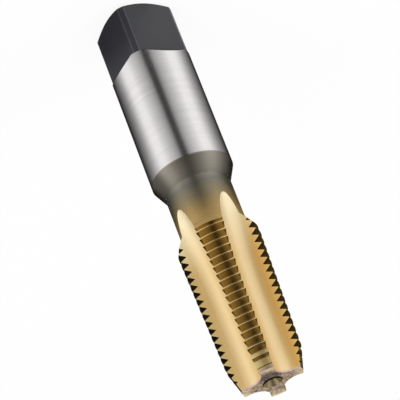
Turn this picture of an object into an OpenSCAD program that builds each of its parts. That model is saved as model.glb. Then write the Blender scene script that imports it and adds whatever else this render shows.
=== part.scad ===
// Taper pipe tap: a one-piece hand tap that cuts an internal pipe thread.
// It stands on its square end, with the cutting end up, and +Z runs along its axis.
// The square's flats face +X, -X, +Y and -Y.

/* [Body] */
// Whole length, from the square's end face to the cutting end
overall_len = 74; // [60:0.5:110]
// Diameter of the ground shank
shank_d = 14.29; // [10:0.01:24]
// Length of the shank and square together, up to the cone
shank_len = 33.5; // [20:0.5:60]
// Diameter of the neck between the shank and the thread
neck_d = 11.24; // [8:0.02:20]
// Angle between the cone below the shank and the axis
cone_angle = 25.7; // [15:0.1:60]

/* [Square] */
// Width across two opposite flats
square_af = 10.69; // [7:0.01:18]
// Length of the flats before they rise to the shank
square_len = 10.33; // [6:0.01:16]
// Angle of the shoulder at the end of each flat, from the axis
shoulder_angle = 45; // [30:1:80]
// Diameter over the four turned-down corners
corner_d = 13.9; // [9:0.05:23]
// Length of the turned-down corners
corner_len = 10.6; // [6:0.1:16]
// Radius of the flat part of the end face
end_face_r = 4.85; // [3:0.05:8]
// Angle of the end chamfer, from the end face
end_chamfer_angle = 30; // [15:1:60]
// Diameter of the small centre hole in the square's end
rear_centre_d = 2.4; // [1:0.1:4]

/* [Thread] */
// Pitch: 18 threads in each inch
pitch = 1.4111; // [1:0.0001:2.5]
// Thread diameter where the cutting end begins
tip_major_d = 12.576; // [8:0.002:20]
// Growth of the diameter in each millimetre of length: 1 in 16
taper = 0.0625; // [0:0.0005:0.1]
// Length of the threaded part at full diameter
thread_len = 26.8; // [12:0.1:40]
// Included angle of the thread
thread_angle = 60; // [50:1:60]
// Width of the flat on each crest
crest_flat = 0.14; // [0.05:0.01:0.4]
// Width of the flat in each root
root_flat = 0.1; // [0.05:0.01:0.4]
// Distance of the last crest of the first land from the cutting end
crest_start = 1.32; // [0:0.01:2.5]
// Length of the lead chamfer at the cutting end
lead_len = 4.3; // [2:0.1:16]
// Radius of the cutting end face
tip_face_r = 5.26; // [3:0.02:9]
// Slope of the thread's rear end, from the axis
back_angle = 26; // [15:1:60]
// Diameter of the 60 degree centre hole in the cutting end
front_centre_d = 3.1; // [1:0.1:4]

/* [Flutes] */
// Number of straight flutes
flutes = 4; // [3:1:5]
// Radius of the round flute
flute_r = 3.3; // [2:0.05:5]
// Distance of the flute's centre line from the axis
flute_centre = 6.1; // [4:0.05:9]
// Where the flute's floor begins to rise, from the cutting end
flute_straight = 17; // [8:0.1:30]
// Radius of the arc that the rising flute follows
runout_r = 45; // [25:0.5:90]
// Turn of the lands from the square's corners
land_turn = -5.5; // [-45:0.1:45]

/* [Hidden] */
$fn = 96;
shank_r = shank_d / 2;
neck_r = neck_d / 2;
corner_r = corner_d / 2;
tip_major_r = tip_major_d / 2;
per_side = taper / 2;
back_r = tip_major_r + thread_len * per_side;
back_run = (back_r - neck_r) / tan(back_angle);
cone_run = (shank_r - neck_r) / tan(cone_angle);
end_chamfer_len = (corner_r - end_face_r) * tan(end_chamfer_angle);
corner_step = shank_r - corner_r;
lead_r = tip_major_r + lead_len * per_side;
half_af = square_af / 2;
flank = tan(thread_angle / 2);
thread_depth = (pitch - crest_flat - root_flat) / (2 * flank);
turns = ceil((thread_len + back_run) / pitch) - 1;
land_span = 52;
over = 2;

// The turned blank, before the square, the flutes and the thread are cut
module blank() {
    rotate_extrude()
    polygon([
        [0, 0],
        [end_face_r, 0],
        [corner_r, end_chamfer_len],
        [corner_r, corner_len],
        [shank_r, corner_len + corner_step],
        [shank_r, shank_len],
        [neck_r, shank_len + cone_run],
        [neck_r, overall_len - thread_len - back_run],
        [back_r, overall_len - thread_len],
        [lead_r, overall_len - lead_len],
        [tip_face_r, overall_len],
        [0, overall_len]
    ]);
}

// What is milled away beside one flat, with its sloping shoulder
module flat_cut() {
    rise = over / tan(shoulder_angle);
    rotate([90, 0, 0])
    translate([0, 0, -shank_d])
    linear_extrude(2 * shank_d)
    polygon([
        [half_af, -over],
        [half_af + 2 * over, -over],
        [half_af + 2 * over, square_len + 2 * rise],
        [half_af, square_len]
    ]);
}

// One flute: straight along the thread, then rising out through the neck
module flute_cut() {
    start_z = overall_len - flute_straight;
    drop = flute_r + 2 * over;
    sweep = asin((flute_straight + over) / runout_r);
    translate([flute_centre, 0, start_z])
    cylinder(r = flute_r, h = flute_straight + over);
    translate([flute_centre + runout_r, 0, start_z])
    rotate([-90, 0, 0])
    rotate_extrude(angle = sweep, start = 180 - sweep)
    translate([runout_r, 0])
    circle(r = flute_r);
}

// One turn of the thread groove, as wide as a land and a little more
module groove_cut(root_r) {
    deep = root_r;
    wide = root_r + thread_depth + over;
    lead_tilt = atan(pitch / (2 * PI * (root_r + thread_depth)));
    grow = (wide - deep) * flank;
    rotate([lead_tilt, 0, 0])
    rotate_extrude(angle = land_span, start = -land_span / 2)
    polygon([
        [deep, -root_flat / 2],
        [wide, -root_flat / 2 - grow],
        [wide, root_flat / 2 + grow],
        [deep, root_flat / 2]
    ]);
}

// All the grooves of one land, each a quarter turn on from its neighbour
module land_grooves(land) {
    for (turn = [0 : turns]) {
        from_tip = crest_start + pitch * (turn - 0.5 - land / flutes);
        root_r = tip_major_r + from_tip * per_side - thread_depth;
        translate([0, 0, overall_len - from_tip])
        groove_cut(root_r);
    }
}

// The 60 degree centre hole that a grinding centre runs in
module centre_hole(d) {
    deep = d / 2 / tan(30);
    translate([0, 0, -0.01])
    cylinder(r1 = d / 2 + 0.006, r2 = 0.3, h = deep - 0.52);
}

module tap() {
    color([0.74, 0.62, 0.38])
    difference() {
        blank();
        for (side = [0 : 3]) {
            rotate([0, 0, side * 90])
            flat_cut();
        }
        for (flute = [0 : flutes - 1]) {
            rotate([0, 0, land_turn + flute * 360 / flutes])
            flute_cut();
        }
        for (land = [0 : flutes - 1]) {
            rotate([0, 0, land_turn - 45 + land * 360 / flutes])
            land_grooves(land);
        }
        centre_hole(rear_centre_d);
        translate([0, 0, overall_len])
        mirror([0, 0, 1])
        centre_hole(front_centre_d);
    }
}

tap();
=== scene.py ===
from math import acos, atan, cos, pi, radians, sin, sqrt, tan

import bmesh
import bpy
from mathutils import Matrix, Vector


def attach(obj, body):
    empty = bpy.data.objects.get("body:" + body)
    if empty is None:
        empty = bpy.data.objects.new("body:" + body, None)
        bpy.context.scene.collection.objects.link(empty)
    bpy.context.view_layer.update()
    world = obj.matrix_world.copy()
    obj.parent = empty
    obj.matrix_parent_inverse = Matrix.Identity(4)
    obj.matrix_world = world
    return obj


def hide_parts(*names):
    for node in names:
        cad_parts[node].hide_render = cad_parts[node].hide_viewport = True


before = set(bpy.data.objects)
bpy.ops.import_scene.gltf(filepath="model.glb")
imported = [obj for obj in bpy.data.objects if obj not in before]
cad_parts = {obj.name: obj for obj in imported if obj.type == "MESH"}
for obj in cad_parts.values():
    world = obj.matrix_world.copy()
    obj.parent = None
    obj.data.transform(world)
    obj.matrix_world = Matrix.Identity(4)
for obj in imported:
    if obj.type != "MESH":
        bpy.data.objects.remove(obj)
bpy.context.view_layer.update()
print("frame loaded")

mm = 0.001  # sizes below are millimetres, the scene is in metres


class Graph:  # one node tree, shader or geometry
    def __init__(self, tree):
        self.tree = tree
        tree.nodes.clear()

    def add(self, kind, settings=None, inputs=None, output=0):
        node = self.tree.nodes.new(kind)
        for name, value in (settings or {}).items():
            if name == "stops":
                self.setStops(node.color_ramp, value)
            else:
                setattr(node, name, value)
        for name, value in (inputs or {}).items():
            socket = node.inputs[name]
            if isinstance(value, Field):
                self.tree.links.new(value.socket, socket)
            else:
                socket.default_value = value
        return Field(self, node.outputs[output]) if node.outputs else None

    def setStops(self, ramp, stops):
        while len(ramp.elements) < len(stops):
            ramp.elements.new(1)
        for element, (position, colour) in zip(ramp.elements, stops):
            element.position = position
            element.color = colour

    def maths(self, operation, *values):
        return self.add("ShaderNodeMath", {"operation": operation}, dict(enumerate(values)))


class Field:  # a socket that can be used in ordinary arithmetic
    def __init__(self, graph, socket):
        self.graph = graph
        self.socket = socket

    def __add__(self, other):
        return self.graph.maths("ADD", self, other)

    def __radd__(self, other):
        return self.graph.maths("ADD", other, self)

    def __sub__(self, other):
        return self.graph.maths("SUBTRACT", self, other)

    def __rsub__(self, other):
        return self.graph.maths("SUBTRACT", other, self)

    def __mul__(self, other):
        return self.graph.maths("MULTIPLY", self, other)

    def __rmul__(self, other):
        return self.graph.maths("MULTIPLY", other, self)

    def __truediv__(self, other):
        return self.graph.maths("DIVIDE", self, other)

    def __gt__(self, other):
        return self.graph.maths("GREATER_THAN", self, other)

    def __lt__(self, other):
        return self.graph.maths("LESS_THAN", self, other)

    def floor(self):
        return self.graph.maths("FLOOR", self)

    def round(self):
        return self.graph.maths("ROUND", self)

    def abs(self):
        return self.graph.maths("ABSOLUTE", self)

    def sign(self):
        return self.graph.maths("SIGN", self)

    def sqrt(self):
        return self.graph.maths("SQRT", self)

    def sin(self):
        return self.graph.maths("SINE", self)

    def cos(self):
        return self.graph.maths("COSINE", self)

    def acos(self):
        return self.graph.maths("ARCCOSINE", self)

    def asin(self):
        return self.graph.maths("ARCSINE", self)

    def angleOf(self, x):
        return self.graph.maths("ARCTAN2", self, x)

    def least(self, other):
        return self.graph.maths("MINIMUM", self, other)

    def most(self, other):
        return self.graph.maths("MAXIMUM", self, other)

    def pick(self, whenNought, whenOne):
        return whenNought + (whenOne - whenNought) * self


def newMaterial(name):
    material = bpy.data.materials.new(name)
    material.use_nodes = True
    return material, Graph(material.node_tree)


def finishMaterial(graph, constants, fields):
    shader = graph.add("ShaderNodeBsdfPrincipled", None, {**constants, **fields})
    graph.add("ShaderNodeOutputMaterial", None, {"Surface": shader})


# sizes of the cutting end, given to the Geometry Nodes tree as its named inputs
cuttingEnd = {
    "Overall Length": 74.0,
    "Pitch": 1.4111,
    "Crest Flat": 0.13,
    "Root Flat": 0.08,
    "Last Crest": 1.32,
    "Tip Radius": 6.288,
    "Taper Each Side": 0.03125,
    "Thread Length": 26.8,
    "Lead Length": 4.3,
    "Face Radius": 5.18,
    "Back Angle": 30.0,
    "Neck Radius": 5.67,
    "Flute Radius": 2.92,
    "Flute Centre": 5.71,
    "Flute Flare": 30.0,
    "Flute Taper": 0.021,
    "Flute Straight": 14.2,
    "Run-out Radius": 82.0,
    "First Land": -51.0,
    "Centre Hole Radius": 1.7,
    "Centre Hole Depth": 2.41,
    "Centre Hole Bottom": 0.3,
}
cuttingGrid = {
    "lands": 4,
    "landSteps": 32,
    "fluteSteps": 30,
    "rowsPerTooth": 8,
    "teeth": 22,
    "neckRows": 12,
    "holeRows": 3,
    "lastCut": 28.85,  # past here the grooves have run out
    "endMargin": 0.003,  # past the flutes' end, so that the last row closes to a point
    "backMargin": 0.03,  # behind the thread's end, where a crest takes the neck's finish
    "landHalf": 16.5,  # degrees, for the helix along a land
    "fanHalf": 20.0,  # degrees that a land covers at the rim of the centre hole
    "floorShare": 0.8,  # of the flute's columns that lie on its round floor
    "floorMost": 0.9,  # of the flute's width that they may take where it is narrow
}
flankAngle = 30  # degrees, half of the thread's 60
flankTan = tan(radians(flankAngle))


def flutesEnd(cut):  # how far from the tip the rising floor of a flute leaves the neck
    end = cut["Flute Straight"]
    arc = cut["Run-out Radius"]
    for attempt in range(8):  # each pass comes closer
        gap = cut["Flute Centre"] + arc + cut["Flute Taper"] * end - cut["Neck Radius"]
        run = (gap + sqrt(gap * gap - 4 * cut["Flute Radius"] * arc)) / 2
        end = cut["Flute Straight"] + sqrt(arc * arc - run * run)
    return end + cuttingGrid["endMargin"]


cuttingEnd["Flutes End"] = flutesEnd(cuttingEnd)


def cuttingTree(materials):
    tree = bpy.data.node_groups.new("cuttingEnd", "GeometryNodeTree")
    graph = Graph(tree)
    for name, value in cuttingEnd.items():
        socket = tree.interface.new_socket(name, in_out="INPUT", socket_type="NodeSocketFloat")
        socket.default_value = value
    tree.interface.new_socket("Geometry", in_out="OUTPUT", socket_type="NodeSocketGeometry")
    entry = tree.nodes.new("NodeGroupInput")
    size = {name: Field(graph, entry.outputs[name]) for name in cuttingEnd}
    grid = cuttingGrid
    lands, landSteps, perTooth = grid["lands"], grid["landSteps"], grid["rowsPerTooth"]
    landColumns = landSteps + grid["fluteSteps"]
    columns = lands * landColumns + 1
    toothRows = grid["teeth"] * perTooth
    rows = grid["holeRows"] + toothRows + grid["neckRows"]
    quarter = 360 / lands
    toRadians = pi / 180

    depth = (size["Pitch"] - size["Crest Flat"] - size["Root Flat"]) / (2 * flankTan)
    leadRadius = size["Tip Radius"] + size["Lead Length"] * size["Taper Each Side"]
    leadSlope = (leadRadius - size["Face Radius"]) / size["Lead Length"]
    backSlope = graph.maths("TANGENT", size["Back Angle"] * toRadians)
    backRadius = size["Tip Radius"] + size["Thread Length"] * size["Taper Each Side"]
    backStart = backRadius + size["Thread Length"] * backSlope
    neckStart = (backStart - size["Neck Radius"]) / backSlope
    flareSin = (size["Flute Flare"] * toRadians).sin()
    flareCos = (size["Flute Flare"] * toRadians).cos()
    floorTurn = pi / 2 - size["Flute Flare"] * toRadians  # the round floor ends here, on each side

    index = graph.add("GeometryNodeInputIndex")
    row = (index / columns).floor()
    column = index - row * columns
    row = row - grid["holeRows"]  # rows below 0 make the centre hole, the last of them its rim
    land = (column / landColumns).floor()
    step = column - land * landColumns
    onLand = step < landSteps + 0.5
    across = (step * (2 / landSteps) - 1).least(1)
    share = ((step - landSteps) / grid["fluteSteps"]).most(0)  # 0 to 1 over the flute
    fluteSide = share * 2 - 1
    toothRow = row.most(0)
    pastTeeth = toothRow > toothRows - 0.5
    neckShare = (toothRow - toothRows) / (grid["neckRows"] - 1)
    neckBack = (size["Flutes End"] - neckStart) * (1 - neckShare) * (1 - neckShare)
    neckZ = size["Flutes End"] - neckBack

    def toothPoint(landIndex, landAcross):  # distance from the tip and radius on a land
        turn = landIndex * quarter + landAcross * grid["landHalf"]
        place = toothRow + landIndex * (perTooth / lands)
        tooth = (place / perTooth).floor()
        inTooth = place - tooth * perTooth - (perTooth - 1) / 2
        side = inTooth.sign()
        rise = (perTooth / 2 - 0.5 - inTooth.abs()) / (perTooth / 2 - 1)
        crestZ = size["Last Crest"] + size["Pitch"] * (tooth - 1 - turn / 360)
        rootZ = crestZ + side * (size["Pitch"] - size["Root Flat"]) / 2
        edgeZ = crestZ + side * size["Crest Flat"] / 2
        rootRadius = size["Tip Radius"] + rootZ * size["Taper Each Side"] - depth
        edgeRadius = size["Tip Radius"] + edgeZ * size["Taper Each Side"]

        def meets(start, slope):  # share of the flank below a cone
            gain = edgeRadius - rootRadius - slope * (edgeZ - rootZ)
            return (start + slope * rootZ - rootRadius) / gain

        reach = meets(size["Face Radius"], leadSlope).least(meets(backStart, 0 - backSlope))
        reach = reach.least(1).most(0)
        z = (rootZ + (edgeZ - rootZ) * rise * reach).most(0).least(grid["lastCut"])
        z = pastTeeth.pick(z, neckZ)
        wave = (z - size["Last Crest"]) / size["Pitch"] + turn / 360
        off = (wave - wave.round()).abs() * size["Pitch"]
        cut = (off - size["Crest Flat"] / 2).most(0).least(depth * flankTan) / flankTan
        thread = size["Tip Radius"] + z * size["Taper Each Side"] - cut
        blank = (backStart - backSlope * z).most(size["Neck Radius"])
        return z, thread.least(blank.least(size["Face Radius"] + leadSlope * z))

    def fluteAt(z):  # middle of the round floor, and how far the run-out draws the section outwards
        climb = (z - size["Flute Straight"]).most(0)
        run = (size["Run-out Radius"] * size["Run-out Radius"] - climb * climb).sqrt()
        middle = size["Flute Centre"] + size["Run-out Radius"] - run + size["Flute Taper"] * z
        return middle, size["Run-out Radius"] / run

    def flutePoint(z, path):  # path is the distance along the section from the floor's middle
        middle, drawn = fluteAt(z)
        turn = (path.abs() / size["Flute Radius"]).least(floorTurn)
        beyond = (path.abs() - floorTurn * size["Flute Radius"]).most(0)
        outwards = middle + drawn * (beyond * flareCos - size["Flute Radius"] * turn.cos())
        return outwards, path.sign() * (size["Flute Radius"] * turn.sin() + beyond * flareSin)

    def fluteEdge(z, radius):  # path from the floor's middle to the land
        middle, drawn = fluteAt(z)
        narrow, wide = size["Flute Radius"], size["Flute Radius"] * drawn
        rest = middle * middle + narrow * narrow - radius * radius
        spread = wide * wide - narrow * narrow
        root = (middle * middle * wide * wide - spread * rest).most(0).sqrt()
        onFloor = (rest / (middle * wide + root)).least(1).most(-1).acos() * narrow
        steep = flareSin / drawn
        slant = (steep * steep + flareCos * flareCos).sqrt()
        wallTurn = steep.angleOf(flareCos) + ((narrow - middle * steep) / slant / radius).asin()
        upWall = (radius * wallTurn.sin() - narrow * flareCos) / flareSin
        return (upWall > 0).pick(onFloor, floorTurn * narrow + upWall)

    nearZ, nearRadius = toothPoint(land, across)
    farZ, farRadius = toothPoint(land + 1, across * 0 - 1)
    nearEdge = fluteEdge(nearZ, nearRadius)
    farEdge = fluteEdge(farZ, farRadius)

    edgeX, edgeY = flutePoint(nearZ, nearEdge)
    edgeAngle = edgeY.angleOf(edgeX)
    landTurn = (size["First Land"] + land * quarter) * toRadians
    landAngle = landTurn + across * (quarter / 2 * toRadians - edgeAngle)
    landX = nearRadius * landAngle.cos()
    landY = nearRadius * landAngle.sin()

    wallZ = share.pick(nearZ, farZ)
    edge = (fluteSide > 0).pick(nearEdge, farEdge)
    floorReach = (edge * grid["floorMost"]).least(floorTurn * size["Flute Radius"])
    onFloor = (fluteSide.abs() / grid["floorShare"]).least(1)
    onWall = ((fluteSide.abs() - grid["floorShare"]) / (1 - grid["floorShare"])).most(0)
    path = fluteSide.sign() * (floorReach * onFloor + (edge - floorReach) * onWall)
    wallX, wallY = flutePoint(wallZ, path)
    fluteTurn = landTurn + quarter / 2 * toRadians
    fluteX = wallX * fluteTurn.cos() - wallY * fluteTurn.sin()
    fluteY = wallX * fluteTurn.sin() + wallY * fluteTurn.cos()

    inHole = row < -0.5
    atRim = row > -1.5
    holeRadius = size["Centre Hole Bottom"] * (row + grid["holeRows"]).least(1)
    holeRadius = holeRadius + (size["Centre Hole Radius"] - size["Centre Hole Bottom"]) * atRim
    fluteFan = quarter / 2 + fluteSide * (quarter / 2 - grid["fanHalf"])
    fanAngle = landTurn + onLand.pick(fluteFan, across * grid["fanHalf"]) * toRadians
    holeZ = size["Centre Hole Depth"] * (1 - atRim)

    x = inHole.pick(onLand.pick(fluteX, landX), holeRadius * fanAngle.cos())
    y = inHole.pick(onLand.pick(fluteY, landY), holeRadius * fanAngle.sin())
    z = size["Overall Length"] - inHole.pick(onLand.pick(wallZ, nearZ), holeZ)
    place = graph.add("ShaderNodeCombineXYZ", None, {"X": x * mm, "Y": y * mm, "Z": z * mm})
    mesh = graph.add("GeometryNodeMeshGrid", None, {"Vertices X": rows, "Vertices Y": columns})
    mesh = graph.add("GeometryNodeSetPosition", None, {"Geometry": mesh, "Position": place})

    faceRow = (index / (columns - 1)).floor()
    faceColumn = index - faceRow * (columns - 1)
    faceRow = faceRow - grid["holeRows"]
    faceLand = (faceColumn / landColumns).floor()
    isFlute = (faceColumn - faceLand * landColumns) > landSteps - 0.5
    facePlace = faceRow + faceLand * (perTooth / lands)
    inTooth = facePlace - (facePlace / perTooth).floor() * perTooth
    isCrest = (inTooth - (perTooth / 2 - 1)).abs() < 0.5
    height = alongAxis(graph, "Z", graph.add("GeometryNodeInputPosition"))
    pastBack = (size["Overall Length"] - height / mm) > size["Thread Length"] + grid["backMargin"]
    isNeck = (pastBack * isCrest + (faceRow > toothRows - 1.5)) > 0.5
    outside = faceRow > -0.5
    zones = [
        ("centreHole", faceRow < -1.5),
        ("endFace", (faceRow + 1).abs() < 0.5),
        ("threadFlank", outside * (1 - isFlute)),
        ("threadCrest", outside * (1 - isFlute) * isCrest),
        ("neckTint", outside * (1 - isFlute) * isNeck),
        ("fluteGold", outside * isFlute),
    ]
    mesh = graph.add("GeometryNodeRealizeInstances", None, {"Geometry": mesh})
    for name, chosen in zones:
        sockets = {"Geometry": mesh, "Selection": chosen, "Material": materials[name]}
        mesh = graph.add("GeometryNodeSetMaterial", None, sockets)
    leave = tree.nodes.new("NodeGroupOutput")
    tree.links.new(mesh.socket, leave.inputs["Geometry"])
    return tree


def cuttingEndMesh(materials):
    tree = cuttingTree(materials)
    holder = bpy.data.objects.new("cuttingEndMaker", bpy.data.meshes.new("cuttingEndMaker"))
    bpy.context.scene.collection.objects.link(holder)
    modifier = holder.modifiers.new("cuttingEnd", "NODES")
    modifier.node_group = tree
    for item in tree.interface.items_tree:
        if item.in_out == "INPUT":
            modifier[item.identifier] = cuttingEnd[item.name]
    evaluated = holder.evaluated_get(bpy.context.evaluated_depsgraph_get())
    mesh = bpy.data.meshes.new_from_object(evaluated)
    holder.modifiers.clear()
    bpy.data.objects.remove(holder)
    return mesh


# the round shank, its cone and the square
driveEnd = {
    "shankRadius": 7.145,
    "coneStart": 33.5,
    "coneAngle": 25.7,
    "tintStart": 33.3,  # the heat-tinted skin begins here, just before the cone
    "flatHalf": 5.345,
    "flatLength": 10.33,
    "cornerRadius": 7.03,
    "cornerLength": 10.6,
    "faceRadius": 4.85,
    "chamferAngle": 24.0,
    "holeRadius": 1.2,
    "holeDepth": 1.56,
    "holeBottom": 0.3,
    "cornerTurn": -45.0,
    "bandSteps": 6,  # steps across a turned-down corner
    "bodyRows": 6,
    "bodyMargin": 1.0,  # from the highest point of the shoulders to the first plain ring
}
tapMesh = {
    "sharpAngle": 18,  # degrees
    "mergeWithin": 0.003,
}


def driveEndRings():  # from the centre hole to the neck, and where black and bright finish end
    drive, cut, grid = driveEnd, cuttingEnd, cuttingGrid
    steps = grid["landSteps"]
    flatSteps = (steps - drive["bandSteps"]) // 2
    flatEdge = acos(drive["flatHalf"] / drive["cornerRadius"])
    chamferTan = tan(radians(drive["chamferAngle"]))
    cornerStep = drive["shankRadius"] - drive["cornerRadius"]
    coneRun = (drive["shankRadius"] - cut["Neck Radius"]) / tan(radians(drive["coneAngle"]))
    top = cut["Overall Length"] - cut["Flutes End"]

    def squareTurn(step):  # radians from the middle of a flat
        if step > steps / 2:
            return pi / 2 - squareTurn(steps - step)
        if step <= flatSteps:
            return atan(step / flatSteps * tan(flatEdge))
        return flatEdge + (step - flatSteps) / (steps / 2 - flatSteps) * (pi / 4 - flatEdge)

    def ring(pointAt, twist=0):
        points = []
        for corner in range(grid["lands"]):
            for step in range(steps):
                onSquare = squareTurn(step)
                nearest = min(onSquare, pi / 2 - onSquare)
                radius, z = pointAt(nearest)
                even = step / steps * pi / 2
                start = radians(drive["cornerTurn"] - 45 + corner * 90)
                shift = radians(cut["First Land"] - drive["cornerTurn"])
                angle = start + onSquare + (even + shift - onSquare) * twist
                points.append(Vector((radius * cos(angle), radius * sin(angle), z)))
        return points

    def prism(z, rise, limit):  # flats that have moved outwards by rise, inside a circle
        return lambda turn: (min((drive["flatHalf"] + rise) / cos(turn), limit), z)

    def chamfer(turn):
        radius = min(drive["flatHalf"] / cos(turn), drive["cornerRadius"])
        return radius, (radius - drive["faceRadius"]) * chamferTan

    def shoulder(turn):
        rise = drive["shankRadius"] * cos(turn) - drive["flatHalf"]
        return drive["shankRadius"], max(stepTop, drive["flatLength"] + rise)

    bandTop = drive["cornerLength"] - drive["flatLength"]
    stepTop = drive["cornerLength"] + cornerStep
    rings = [
        ring(lambda turn: (drive["holeBottom"], drive["holeDepth"])),
        ring(lambda turn: (drive["holeRadius"], 0)),
        ring(lambda turn: (drive["faceRadius"], 0)),
        ring(chamfer),
        ring(prism(drive["flatLength"], 0, drive["cornerRadius"])),
        ring(prism(drive["cornerLength"], bandTop, drive["cornerRadius"])),
        ring(prism(stepTop, bandTop + cornerStep, drive["shankRadius"])),
        ring(shoulder),
    ]
    shoulderRing = len(rings) - 1
    first = drive["flatLength"] + drive["shankRadius"] - drive["flatHalf"] + drive["bodyMargin"]
    for count in range(drive["bodyRows"] + 1):
        share = count / drive["bodyRows"]
        z = first + (drive["tintStart"] - first) * share
        rings.append(ring(lambda turn, z=z: (drive["shankRadius"], z), share))
    tintRing = len(rings) - 1
    rings.append(ring(lambda turn: (drive["shankRadius"], drive["coneStart"]), 1))
    rings.append(ring(lambda turn: (cut["Neck Radius"], drive["coneStart"] + coneRun), 1))
    rings.append(ring(lambda turn: (cut["Neck Radius"], top), 1))
    return rings, shoulderRing, tintRing


def makeTap(materials):
    names = list(materials)
    cutting = cuttingEndMesh(materials)
    order = [names.index(material.name) if material else 0 for material in cutting.materials]
    for face in cutting.polygons:
        face.material_index = order[face.material_index]
    work = bmesh.new()
    work.from_mesh(cutting)
    rings, shoulderRing, tintRing = driveEndRings()
    loops = [[work.verts.new(point * mm) for point in points] for points in rings]
    for level, (lower, upper) in enumerate(zip(loops, loops[1:])):
        if level < shoulderRing:
            finish = "blackOxide"
        elif level < tintRing:
            finish = "groundSteel"
        else:
            finish = "neckTint"
        for here in range(len(lower)):
            there = (here + 1) % len(lower)
            face = work.faces.new((lower[here], lower[there], upper[there], upper[here]))
            face.material_index = names.index(finish)
    bottom = work.faces.new(loops[0])
    bottom.material_index = names.index("blackOxide")
    bmesh.ops.remove_doubles(work, verts=work.verts, dist=tapMesh["mergeWithin"] * mm)
    bmesh.ops.recalc_face_normals(work, faces=work.faces)
    for face in work.faces:
        face.smooth = True
    for edge in work.edges:
        if len(edge.link_faces) == 2:
            first, second = edge.link_faces
            sharp = edge.calc_face_angle(0) > radians(tapMesh["sharpAngle"])
            edge.smooth = not (sharp or isBorder(names, first, second))
    mesh = bpy.data.meshes.new("tap_body")
    work.to_mesh(mesh)
    work.free()
    for name in names:
        mesh.materials.append(materials[name])
    tap = bpy.data.objects.new("tap_body", mesh)
    bpy.context.scene.collection.objects.link(tap)
    return tap


def isBorder(names, first, second):  # the flute's rim stays crisp where it runs out
    pair = {names[first.material_index], names[second.material_index]}
    return len(pair) == 2 and "fluteGold" in pair


def objectPoint(graph):
    return graph.add("ShaderNodeTexCoord", None, None, "Object")


def noise(graph, detail, size=1.0, stretch=(1, 1, 1), roughness=0.5):
    place = graph.add("ShaderNodeMapping", None, {"Vector": objectPoint(graph), "Scale": stretch})
    sockets = {"Vector": place, "Scale": size, "Detail": detail, "Roughness": roughness}
    return graph.add("ShaderNodeTexNoise", {"noise_dimensions": "3D"}, sockets, "Fac")


def blended(first, second, share):  # share is that of the first
    return first * share + second * (1 - share)


def ramp(graph, factor, stops):
    return graph.add("ShaderNodeValToRGB", {"stops": stops}, {"Fac": factor}, "Color")


def mixed(graph, factor, first, second, blend="MIX"):
    settings = {"data_type": "RGBA", "blend_type": blend}
    sockets = {0: factor, 6: first, 7: second}  # 6, 7 and output 2 are the node's colours
    return graph.add("ShaderNodeMix", settings, sockets, 2)


def bump(graph, height, depth, strength):
    sockets = {"Height": height, "Distance": depth, "Strength": strength}
    return graph.add("ShaderNodeBump", None, sockets)


def alongAxis(graph, axis, point=None):
    return graph.add("ShaderNodeSeparateXYZ", None, {"Vector": point or objectPoint(graph)}, axis)


def heightField(graph):  # millimetres from the square's end face
    return alongAxis(graph, "Z") / mm


def planFields(graph):  # millimetres from the tap's axis
    return alongAxis(graph, "X") / mm, alongAxis(graph, "Y") / mm


def distance(x, y):
    return (x * x + y * y).sqrt()


def grey(value):
    return (value, value, value, 1)


def clamped(field):
    return field.most(0).least(1)


def rising(field, start, blend):  # from 0 at the start to 1 where the blend ends
    return clamped((field - start) / blend)


def between(field, ends, blends):
    return rising(field, ends[0], blends[0]) * (1 - rising(field, ends[1] - blends[1], blends[1]))


groundShank = {
    "bright": (0.98, 0.95, 0.94, 1),
    "dull": (0.70, 0.68, 0.68, 1),
    "edge": (0.02, 0.02, 0.022, 1),
    "roughness": 0.2,
    "roughnessSpread": 0.08,
    "lineScale": (40, 40, 4000),  # grinding lines run round the shank
    "bandScale": (30, 30, 700),
    "lineShare": 0.6,  # of the pattern, and the bands have the rest
    "lineDepth": 0.0000006,
}


def groundSteel():
    material, graph = newMaterial("groundSteel")
    lines = noise(graph, detail=3, stretch=groundShank["lineScale"], roughness=0.7)
    bands = noise(graph, detail=2, stretch=groundShank["bandScale"])
    pattern = blended(lines, bands, groundShank["lineShare"])
    finishMaterial(
        graph,
        {
            "Metallic": 1.0,
            "Specular Tint": groundShank["edge"],
            "Anisotropic": 0.75,
            "Anisotropic Rotation": 0.25,
        },
        {
            "Base Color": mixed(graph, pattern, groundShank["dull"], groundShank["bright"]),
            "Roughness": groundShank["roughness"] + lines * groundShank["roughnessSpread"],
            "Normal": bump(graph, lines, groundShank["lineDepth"], strength=1.0),
        },
    )
    return material


oxideSquare = {
    "dark": (0.018, 0.0183, 0.0232, 1),
    "pale": (0.034, 0.0345, 0.0425, 1),
    "mottleSize": 1500,
    "cloudSize": 220,
    "mottleShare": 0.5,  # of the pattern, and the clouds have the rest
    "mottleDepth": 0.000004,
    "roughness": 0.27,
    "roughnessSpread": 0.12,
    "paintedHighlight": (0.088, 0.088, 0.1, 1),  # painted highlight on the thin edges where a flat meets a turned-down corner
    "highlightCorner": 0.08,  # the corners themselves, as a share of that
    "highlightRadius": 6.9,
    "highlightRadiusBlend": 0.1,
    "highlightFlat": 5.24,
    "highlightFlatBlend": 0.09,
    "highlightLeast": 0.2,  # where the mottling leaves least of it
}


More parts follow.
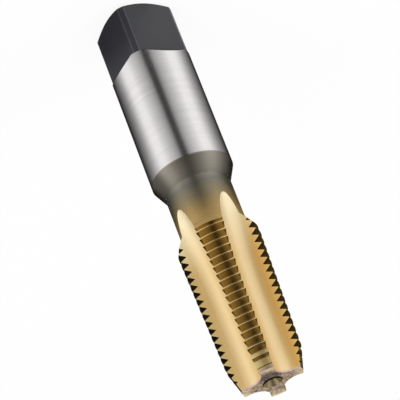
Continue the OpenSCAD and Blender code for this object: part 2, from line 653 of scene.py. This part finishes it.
def blackOxide():
    material, graph = newMaterial("blackOxide")
    mottle = noise(graph, detail=5, size=oxideSquare["mottleSize"], roughness=0.65)
    cloud = noise(graph, detail=2, size=oxideSquare["cloudSize"])
    pattern = blended(mottle, cloud, oxideSquare["mottleShare"])
    colour = mixed(graph, pattern, oxideSquare["dark"], oxideSquare["pale"])
    x, y = planFields(graph)
    # painted highlight: thin lighter lines along the edges of the flats beside each turned-down
    # corner
    paintedHighlight = rising(distance(x, y), oxideSquare["highlightRadius"], oxideSquare["highlightRadiusBlend"])
    edge = rising(x.abs().most(y.abs()), oxideSquare["highlightFlat"], oxideSquare["highlightFlatBlend"])
    paintedHighlight = paintedHighlight * edge.pick(oxideSquare["highlightCorner"], 1.0)
    paintedHighlight = paintedHighlight * mottle.pick(oxideSquare["highlightLeast"], 1.0)
    finishMaterial(
        graph,
        {"Metallic": 0.0, "IOR": 1.5},
        {
            "Base Color": mixed(graph, paintedHighlight, colour, oxideSquare["paintedHighlight"]),
            "Roughness": oxideSquare["roughness"] + mottle * oxideSquare["roughnessSpread"],
            "Normal": bump(graph, mottle, oxideSquare["mottleDepth"], strength=0.5),
        },
    )
    return material


neckSkin = {
    "start": 33.3,
    "end": 45.5,
    "stops": [  # from the cone to the thread
        (0.0, (0.445, 0.41, 0.345, 1)),
        (0.2, (0.415, 0.385, 0.32, 1)),
        (0.385, (0.28, 0.27, 0.226, 1)),
        (0.55, (0.42, 0.345, 0.21, 1)),
        (0.71, (0.665, 0.48, 0.21, 1)),
        (0.88, (0.93, 0.67, 0.28, 1)),
        (1.0, (0.98, 0.72, 0.31, 1)),
    ],
    "cloudSize": 260,
    "cloudSpread": 0.25,
    "line": (0.14, 0.125, 0.10, 1),
    "lineScale": (60, 60, 6000),
    "lineShare": 0.3,
    "lineDepth": 0.0000008,
    "coneRoughness": 0.27,
    "roughness": 0.74,  # near the thread
}


def neckTint():
    material, graph = newMaterial("neckTint")
    cloud = noise(graph, detail=3, size=neckSkin["cloudSize"], roughness=0.6)
    lines = noise(graph, detail=3, stretch=neckSkin["lineScale"], roughness=0.7)
    along = (heightField(graph) - neckSkin["start"]) / (neckSkin["end"] - neckSkin["start"])
    along = along + (cloud - 0.5) * neckSkin["cloudSpread"]
    colour = ramp(graph, along, neckSkin["stops"])
    colour = mixed(graph, lines * neckSkin["lineShare"], colour, neckSkin["line"])
    finishMaterial(
        graph,
        {
            "Metallic": 1.0,
            "Specular Tint": grey(0.03),
            "Anisotropic": 0.5,
            "Anisotropic Rotation": 0.25,
        },
        {
            "Base Color": colour,
            "Roughness": clamped(along).pick(neckSkin["coneRoughness"], neckSkin["roughness"]),
            "Normal": bump(graph, lines, neckSkin["lineDepth"], strength=1.0),
        },
    )
    return material


goldCoat = {
    "flute": (1.0, 0.83, 0.53, 1),
    "flutePale": (1.0, 0.90, 0.65, 1),
    "satin": (0.88, 0.57, 0.18, 1),
    "satinPale": (1.0, 0.84, 0.54, 1),
    # painted highlight: the gold turns paler towards the neck, held in the pale colours
    "paleStart": 52.0,
    "paleBlend": 9.0,
    # the flanks' darker brown is partly painted shade in the thread's grooves, partly the coating's
    # own darker tone there
    "flank": (0.57, 0.40, 0.155, 1),
    "flankPale": (0.65, 0.47, 0.19, 1),
    "cuttingWall": (0.82, 0.67, 0.40, 1),  # painted shade on the wall of a flute that ends in the cutting edges
    "cuttingWallStart": 1.5,  # millimetres from the flute's middle
    "cuttingWallBlend": 1.0,
    "cuttingRimStart": 2.5,  # the painted shade is paler again towards the teeth
    "cuttingRimBlend": 0.9,
    "cuttingRimPaler": 0.5,
    "cuttingTopPaler": 0.4,
    # painted shade on the other wall of a flute
    "otherWall": (0.82, 0.80, 0.68, 1),
    "otherWallStart": 2.1,
    "otherWallBlend": 0.6,
    "otherTopFade": 2.0,  # the painted shade is gone half way through the blend to the pale gold
    "crest": (1.0, 0.76, 0.35, 1),
    "crestPale": (1.0, 0.83, 0.44, 1),
    "bare": (0.72, 0.56, 0.49, 1),  # the last bit before the end face was ground after coating
    "bareStart": 73.55,
    "bareBlend": 0.25,
    "bareSpread": 2.0,
    "streakScale": (900, 900, 60),  # lengthwise, as the flutes were ground
    "streakShare": 0.6,  # of the pattern, and the grain has the rest
    "grainSize": 2500,
    "grainDepth": 0.0000015,
    "roughnessSpread": 0.1,
}


def fluteSide(graph):  # millimetres from the nearest flute's middle, minus towards its cutting wall
    quarterTurn = 2 * pi / cuttingGrid["lands"]
    firstFlute = radians(cuttingEnd["First Land"]) + quarterTurn / 2
    x, y = planFields(graph)
    quarters = (y.angleOf(x) - firstFlute) / quarterTurn
    return distance(x, y) * ((quarters - quarters.round()) * quarterTurn).sin()


def fluteShade(graph, colour, pale):  # painted shade: a flute's two walls are darkened to a deeper gold than its floor
    side = fluteSide(graph)
    rim = rising(0 - side, goldCoat["cuttingRimStart"], goldCoat["cuttingRimBlend"])
    cutting = rising(0 - side, goldCoat["cuttingWallStart"], goldCoat["cuttingWallBlend"])
    cutting = cutting * (1 - rim * goldCoat["cuttingRimPaler"])
    cutting = cutting * (1 - pale * goldCoat["cuttingTopPaler"])
    other = rising(side, goldCoat["otherWallStart"], goldCoat["otherWallBlend"])
    other = other * (1 - clamped(pale * goldCoat["otherTopFade"]))
    colour = mixed(graph, cutting, colour, goldCoat["cuttingWall"], "MULTIPLY")
    return mixed(graph, other, colour, goldCoat["otherWall"], "MULTIPLY")


def goldMaterial(name, finish):  # a polished and a satin gold, mixed
    material, graph = newMaterial(name)
    streaks = noise(graph, detail=3, stretch=goldCoat["streakScale"], roughness=0.6)
    grain = noise(graph, detail=4, size=goldCoat["grainSize"], roughness=0.6)
    pattern = blended(streaks, grain, goldCoat["streakShare"])
    height = heightField(graph)
    first, second = finish["colours"]
    near, far = finish["satin"]
    # painted highlight: paler gold towards the neck
    pale = clamped((goldCoat["paleStart"] - height) / goldCoat["paleBlend"])
    colour = mixed(graph, pattern, goldCoat[first], goldCoat[second])
    under = mixed(graph, pale, goldCoat[near], goldCoat[far])
    if finish["inFlute"]:
        colour, under = fluteShade(graph, colour, pale), fluteShade(graph, under, pale)
    bare = (height - goldCoat["bareStart"]) / goldCoat["bareBlend"]
    bare = clamped(bare + (grain - 0.5) * goldCoat["bareSpread"])
    fields = {
        "Base Color": mixed(graph, bare, colour, goldCoat["bare"]),
        "Roughness": finish["roughness"] + streaks * goldCoat["roughnessSpread"],
        "Normal": bump(graph, grain, goldCoat["grainDepth"], strength=0.6),
    }
    metal = {"Metallic": 1.0, **finish["constants"]}
    polished = graph.add("ShaderNodeBsdfPrincipled", None, {**metal, **fields})
    fields["Base Color"] = mixed(graph, bare, under, goldCoat["bare"])
    matt = {"Metallic": 0.0, "Specular IOR Level": 0.0}
    satin = graph.add("ShaderNodeBsdfPrincipled", None, {**matt, **fields})
    facing = graph.add("ShaderNodeLayerWeight", None, {"Blend": 0.5}, "Facing")
    share = pale.pick(finish["share"], finish["paleShare"])
    share = share * (1 - facing * facing)  # only the polish shows at a glancing angle
    surface = graph.add("ShaderNodeMixShader", None, {0: share, 1: polished, 2: satin})
    graph.add("ShaderNodeOutputMaterial", None, {"Surface": surface})
    return material


fluteFinish = {
    "colours": ("flute", "flutePale"),
    "satin": ("satin", "satinPale"),
    "inFlute": True,
    "share": 0.52,  # of the satin gold
    "paleShare": 0.62,  # the same near the neck
    "roughness": 0.34,
    "constants": {
        "Specular Tint": (0.8, 0.72, 0.6, 1),
        "Anisotropic": 0.3,
        "Anisotropic Rotation": 0.0,
    },
}
flankFinish = {
    "colours": ("flank", "flankPale"),
    "satin": ("flank", "flank"),
    "inFlute": False,
    "share": 0.0,
    "paleShare": 0.0,
    "roughness": 0.16,
    "constants": {"Specular Tint": grey(0.02)},
}
crestFinish = {
    "colours": ("crest", "crestPale"),
    "satin": ("satin", "satin"),
    "inFlute": False,
    "share": 0.18,
    "paleShare": 0.18,
    "roughness": 0.13,
    "constants": {
        "Specular Tint": grey(0.02),
        "Anisotropic": 0.6,
        "Anisotropic Rotation": 0.25,
    },
}


holeSkin = {
    "plain": (0.62, 0.46, 0.20, 1),
    "pale": (0.80, 0.66, 0.38, 1),
    # the colour of the painted shade inside the hole
    "dark": (0.03, 0.025, 0.012, 1),
    "paintedShadeTurn": -54.0,  # degrees, the side where the painted shade inside the hole is darkest
    "paintedShadeRise": 0.22,
    "darkBlend": 0.2,
    "grainSize": 2500,
    "grainDepth": 0.000004,
    "roughness": 0.2,
    "roughnessSpread": 0.1,
}


def centreHole():
    material, graph = newMaterial("centreHole")
    grain = noise(graph, detail=4, size=holeSkin["grainSize"], roughness=0.6)
    x, y = planFields(graph)
    # painted shade in the hole: darker with depth and towards one side
    front = x * cos(radians(holeSkin["paintedShadeTurn"])) + y * sin(radians(holeSkin["paintedShadeTurn"]))
    holeShade = cuttingEnd["Overall Length"] - heightField(graph) + front
    holeShade = clamped((holeShade + holeSkin["paintedShadeRise"]) / holeSkin["darkBlend"])
    colour = mixed(graph, grain, holeSkin["plain"], holeSkin["pale"])
    finishMaterial(
        graph,
        {"Metallic": 0.9, "Specular Tint": (0.3, 0.25, 0.12, 1)},
        {
            "Base Color": mixed(graph, holeShade, colour, holeSkin["dark"]),
            "Roughness": holeSkin["roughness"] + grain * holeSkin["roughnessSpread"],
            "Normal": bump(graph, grain, holeSkin["grainDepth"], strength=0.6),
        },
    )
    return material


endFaceSkin = {
    "pale": (0.72, 0.53, 0.36, 1),
    "paleFrom": 0.353,  # of the mottling
    "paleBlend": 0.294,
    "grey": (0.12, 0.092, 0.078, 1),
    "rim": (0.96, 0.74, 0.47, 1),
    "rimStart": 3.4,
    "rimBlend": 1.6,
    "rimFrom": 0.15,  # of the mottling
    "rimMottleBlend": 0.5,
    "faceShadeTurn": -54.0,  # degrees, the middle of a patch of painted shade beside the centre hole
    "faceShadeHalf": 62.0,
    "faceShadeEnd": 4.2,
    "faceShadeBlend": 1.0,
    "paintedFaceShade": (0.40, 0.40, 0.47, 1),
    "mottleSize": 2300,
    "mottleDepth": 0.00001,
    "cloudSize": 420,
    "cloudSpread": 2,  # millimetres
    "roughness": 0.45,
    "roughnessSpread": 0.2,
}


def endFace():
    material, graph = newMaterial("endFace")
    mottle = noise(graph, detail=4, size=endFaceSkin["mottleSize"], roughness=0.7)
    cloud = noise(graph, detail=2, size=endFaceSkin["cloudSize"])
    x, y = planFields(graph)
    outwards = distance(x, y) + (cloud - 0.5) * endFaceSkin["cloudSpread"]
    pale = rising(mottle, endFaceSkin["paleFrom"], endFaceSkin["paleBlend"])
    colour = mixed(graph, pale, endFaceSkin["grey"], endFaceSkin["pale"])
    rim = rising(outwards, endFaceSkin["rimStart"], endFaceSkin["rimBlend"])
    rim = rim * rising(mottle, endFaceSkin["rimFrom"], endFaceSkin["rimMottleBlend"])
    colour = mixed(graph, rim, colour, endFaceSkin["rim"])
    # painted shade: a darker patch on the end face beside the centre hole, on one side
    off = (y.angleOf(x) - radians(endFaceSkin["faceShadeTurn"])).abs()
    off = off / radians(endFaceSkin["faceShadeHalf"])
    paintedFaceShade = clamped((endFaceSkin["faceShadeEnd"] - outwards) / endFaceSkin["faceShadeBlend"])
    paintedFaceShade = paintedFaceShade * clamped(2 - 2 * off)  # whole up to half of that angle
    colour = mixed(graph, paintedFaceShade, colour, endFaceSkin["paintedFaceShade"], "MULTIPLY")
    finishMaterial(
        graph,
        {"Metallic": 0.25},
        {
            "Base Color": colour,
            "Roughness": endFaceSkin["roughness"] + mottle * endFaceSkin["roughnessSpread"],
            "Normal": bump(graph, mottle, endFaceSkin["mottleDepth"], strength=0.5),
        },
    )
    return material


def makeMaterials():
    return {
        "groundSteel": groundSteel(),
        "blackOxide": blackOxide(),
        "neckTint": neckTint(),
        "fluteGold": goldMaterial("fluteGold", fluteFinish),
        "threadFlank": goldMaterial("threadFlank", flankFinish),
        "threadCrest": goldMaterial("threadCrest", crestFinish),
        "endFace": endFace(),
        "centreHole": centreHole(),
    }


materials = makeMaterials()
print("materials made:", len(materials))
tap = makeTap(materials)
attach(tap, "root")
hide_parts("tap")
print("tap made:", len(tap.data.polygons), "faces")


studio = {
    "floorReach": 6.0,
    "floorColour": grey(0.9),
    "floorGlow": 0.9,  # share of plain white in what the camera and the metal see of the floor
    "worldLight": 0.75,
    "keyPower": 2.5,
    "keyPlace": (-0.5, -0.6, 0.9),
    "fillPower": 4.0,
    "fillPlace": (0.8, -0.3, 0.7),
    "lampSize": 0.6,
}


def seesBackground(graph):  # 1 for the rays that show the pale background
    seen = graph.add("ShaderNodeLightPath", None, None, "Is Camera Ray")
    seen = seen.most(graph.add("ShaderNodeLightPath", None, None, "Is Glossy Ray"))
    return seen.most(graph.add("ShaderNodeLightPath", None, None, "Is Transmission Ray"))


def makeFloor():
    mesh = bpy.data.meshes.new("studioFloor")
    corners = [(-1, -1), (1, -1), (1, 1), (-1, 1)]
    points = [(x * studio["floorReach"], y * studio["floorReach"], 0) for x, y in corners]
    mesh.from_pydata(points, [], [(0, 1, 2, 3)])
    floor = bpy.data.objects.new("studioFloor", mesh)
    bpy.context.scene.collection.objects.link(floor)
    material, graph = newMaterial("studioFloor")
    matt = graph.add("ShaderNodeBsdfDiffuse", None, {"Color": studio["floorColour"]})
    glow = graph.add("ShaderNodeEmission", None, {"Color": grey(1), "Strength": 1.0})
    share = seesBackground(graph) * studio["floorGlow"]
    surface = graph.add("ShaderNodeMixShader", None, {0: share, 1: matt, 2: glow})
    graph.add("ShaderNodeOutputMaterial", None, {"Surface": surface})
    mesh.materials.append(material)


def makeWorld():
    world = bpy.data.worlds.new("studioWorld")
    world.use_nodes = True
    graph = Graph(world.node_tree)
    strength = seesBackground(graph).pick(studio["worldLight"], 1.0)
    light = graph.add("ShaderNodeBackground", None, {"Color": grey(1), "Strength": strength})
    graph.add("ShaderNodeOutputWorld", None, {"Surface": light})
    bpy.context.scene.world = world


def makeLamp(name, place, power):
    light = bpy.data.lights.new(name, "AREA")
    light.energy = power
    light.size = studio["lampSize"]
    lamp = bpy.data.objects.new(name, light)
    lamp.location = place
    lamp.rotation_euler = (-Vector(place)).to_track_quat("-Z", "Y").to_euler()
    lamp.visible_glossy = False
    bpy.context.scene.collection.objects.link(lamp)


# What the metal mirrors: a tent round the tap, white at the sides, dark in front, behind and above.
# Reach and height are in millimetres, and places round the tap go from 0 in front to 1 behind.
tent = {
    "profile": [(5.4, 0.1), (250, 1.0), (330, 60), (330, 260), (200, 420), (60, 460), (0.5, 465)],
    "frontAzimuth": -56.3,
    "steps": 96,
    "stops": [
        (0.0, 0.035),
        (0.033, 0.04),
        (0.058, 0.24),
        (0.085, 0.36),
        (0.13, 0.50),
        (0.21, 0.71),
        (0.3, 1.0),
        (0.39, 1.0),
        (0.45, 0.80),
        (0.52, 0.55),
        (0.6, 0.34),
        (0.68, 0.26),
        (0.76, 0.17),
        (1.0, 0.15),
    ],
    "wallStops": [  # the same, higher up
        (0.0, 0.24),
        (0.06, 0.24),
        (0.12, 0.32),
        (0.2, 0.48),
        (0.28, 0.9),
        (0.39, 1.0),
        (0.45, 0.75),
        (0.52, 0.45),
        (0.6, 0.28),
        (1.0, 0.12),
    ],
    "wallFrom": 95,
    "wallBlend": 40,
    "darkFrom": 120,  # it darkens towards the top
    "darkBlend": 80,
    "overhead": 0.15,
    "boxFrom": 225,  # a soft light high on both sides of the front
    "boxBlend": 30,
    "boxSides": (0.04, 0.5),
    "boxSidesBlend": (0.0625, 0.125),
    "boxGlow": 0.45,
    "nearReach": 13,  # beside the square, where left is dark and right bright
    "nearBlend": 7,
    "nearEdge": 2,
    "nearDark": 0.97,
    "nearBright": 0.7,
    "sidesFrom": (0.54, 0.42),  # right and left, from where they differ
    "sidesBlend": (0.2, 0.12),
    "sidesRise": (20, 40),  # the wall's shares begin at this height and blend in over the next
    "farFrom": 50,
    "farBlend": 25,
    "nearSides": (1.35, 0.76),  # on the floor close by, further off, and on the wall
    "farSides": (0.76, 1.2),
    "wallSides": (0.85, 0.28),
    "glowFrom": 85,  # a brighter part of the floor far off in front on the right
    "glowBlend": 15,
    "glowSides": (0.03, 0.36),
    "glowSidesBlend": (0.05, 0.1),
    "glowTop": 2,
    "glow": 0.3,
    "frontFrom": 150,  # beyond this the dark strip in front is lost in the bright floor
    "frontBlend": 45,
    "frontSide": 0.4,
    "frontTop": 30,
    "frontBright": 0.42,
}


def tentMesh():
    work = bmesh.new()
    turns = [2 * pi * step / tent["steps"] for step in range(tent["steps"])]
    rings = []
    for radius, z in tent["profile"]:
        points = [(radius * mm * cos(turn), radius * mm * sin(turn), z * mm) for turn in turns]
        rings.append([work.verts.new(point) for point in points])
    for lower, upper in zip(rings, rings[1:]):
        for here in range(tent["steps"]):
            there = (here + 1) % tent["steps"]
            work.faces.new((lower[here], lower[there], upper[there], upper[here]))
    mesh = bpy.data.meshes.new("reflectionTent")
    work.to_mesh(mesh)
    work.free()
    return mesh


def greyRamp(graph, away, stops):
    return ramp(graph, away, [(place, grey(value)) for place, value in stops])


def tentShade(graph):
    sockets = {"Vector": objectPoint(graph), "Rotation": (0, 0, -radians(tent["frontAzimuth"]))}
    turned = graph.add("ShaderNodeMapping", {"vector_type": "POINT"}, sockets)
    x, y = alongAxis(graph, "X", turned) / mm, alongAxis(graph, "Y", turned) / mm
    away = y.abs().angleOf(x) / pi
    height = heightField(graph)
    reach = distance(x, y)
    onLeft = y > 0
    near = 1 - rising(reach, tent["nearReach"], tent["nearBlend"])
    far = rising(reach, tent["farFrom"], tent["farBlend"])
    onWall = rising(height, tent["wallFrom"], tent["wallBlend"])
    floorShade = greyRamp(graph, away, tent["stops"])
    shade = mixed(graph, onWall, floorShade, greyRamp(graph, away, tent["wallStops"]))

    glow = rising(reach, tent["glowFrom"], tent["glowBlend"]) * (height < tent["glowTop"])
    glow = glow * between(away, tent["glowSides"], tent["glowSidesBlend"]) * (1 - onLeft)
    shade = mixed(graph, 1.0, shade, glow * tent["glow"], "ADD")
    lost = rising(reach, tent["frontFrom"], tent["frontBlend"]) * (height < tent["frontTop"])
    lost = lost * (away < tent["frontSide"])
    shade = mixed(graph, lost, shade, grey(tent["frontBright"]), "LIGHTEN")
    shade = mixed(graph, near * (1 - onLeft), shade, grey(tent["nearBright"]), "LIGHTEN")

    sides = []
    for side in range(2):
        onFloor = far.pick(tent["nearSides"][side], tent["farSides"][side])
        level = rising(height, *tent["sidesRise"]).pick(onFloor, tent["wallSides"][side])
        behind = rising(away, tent["sidesFrom"][side], tent["sidesBlend"][side])
        sides.append(behind.pick(1.0, level))
    box = rising(height, tent["boxFrom"], tent["boxBlend"]) * tent["boxGlow"]
    box = box * between(away, tent["boxSides"], tent["boxSidesBlend"])
    dim = rising(height, tent["darkFrom"], tent["darkBlend"]).pick(1.0, tent["overhead"]) + box
    dim = dim * (1 - near * (y > tent["nearEdge"]) * tent["nearDark"]) * onLeft.pick(*sides)
    colour = mixed(graph, 1.0, shade, dim, "MULTIPLY")
    return mixed(graph, 1.0, colour, grey(1), "DARKEN")  # never brighter than the pale background


def makeTent():
    mesh = tentMesh()
    material, graph = newMaterial("reflectionTent")
    light = graph.add("ShaderNodeEmission", None, {"Color": tentShade(graph), "Strength": 1.0})
    graph.add("ShaderNodeOutputMaterial", None, {"Surface": light})
    mesh.materials.append(material)
    cards = bpy.data.objects.new("reflectionTent", mesh)
    bpy.context.scene.collection.objects.link(cards)
    cards.visible_camera = False
    cards.visible_diffuse = False
    cards.visible_shadow = False
    cards.visible_transmission = False


view = {
    "place": (0.1982888, -0.2759481, 0.2318373),
    "turn": (-58.5477, -18.3893, -155.2675),
    "lens": 211.644,
    "sensor": 36,
    "clip": (0.01, 50),
}


def makeCamera():
    data = bpy.data.cameras.new("photoCamera")
    data.lens = view["lens"]
    data.sensor_width = view["sensor"]
    data.clip_start, data.clip_end = view["clip"]
    camera = bpy.data.objects.new("photoCamera", data)
    camera.location = view["place"]
    camera.rotation_euler = [radians(angle) for angle in view["turn"]]
    bpy.context.scene.collection.objects.link(camera)
    bpy.context.scene.camera = camera


makeFloor()
makeWorld()
makeLamp("keyLamp", studio["keyPlace"], studio["keyPower"])
makeLamp("fillLamp", studio["fillPlace"], studio["fillPower"])
makeTent()
makeCamera()
bpy.context.scene.view_settings.view_transform = "Standard"
print("studio set")
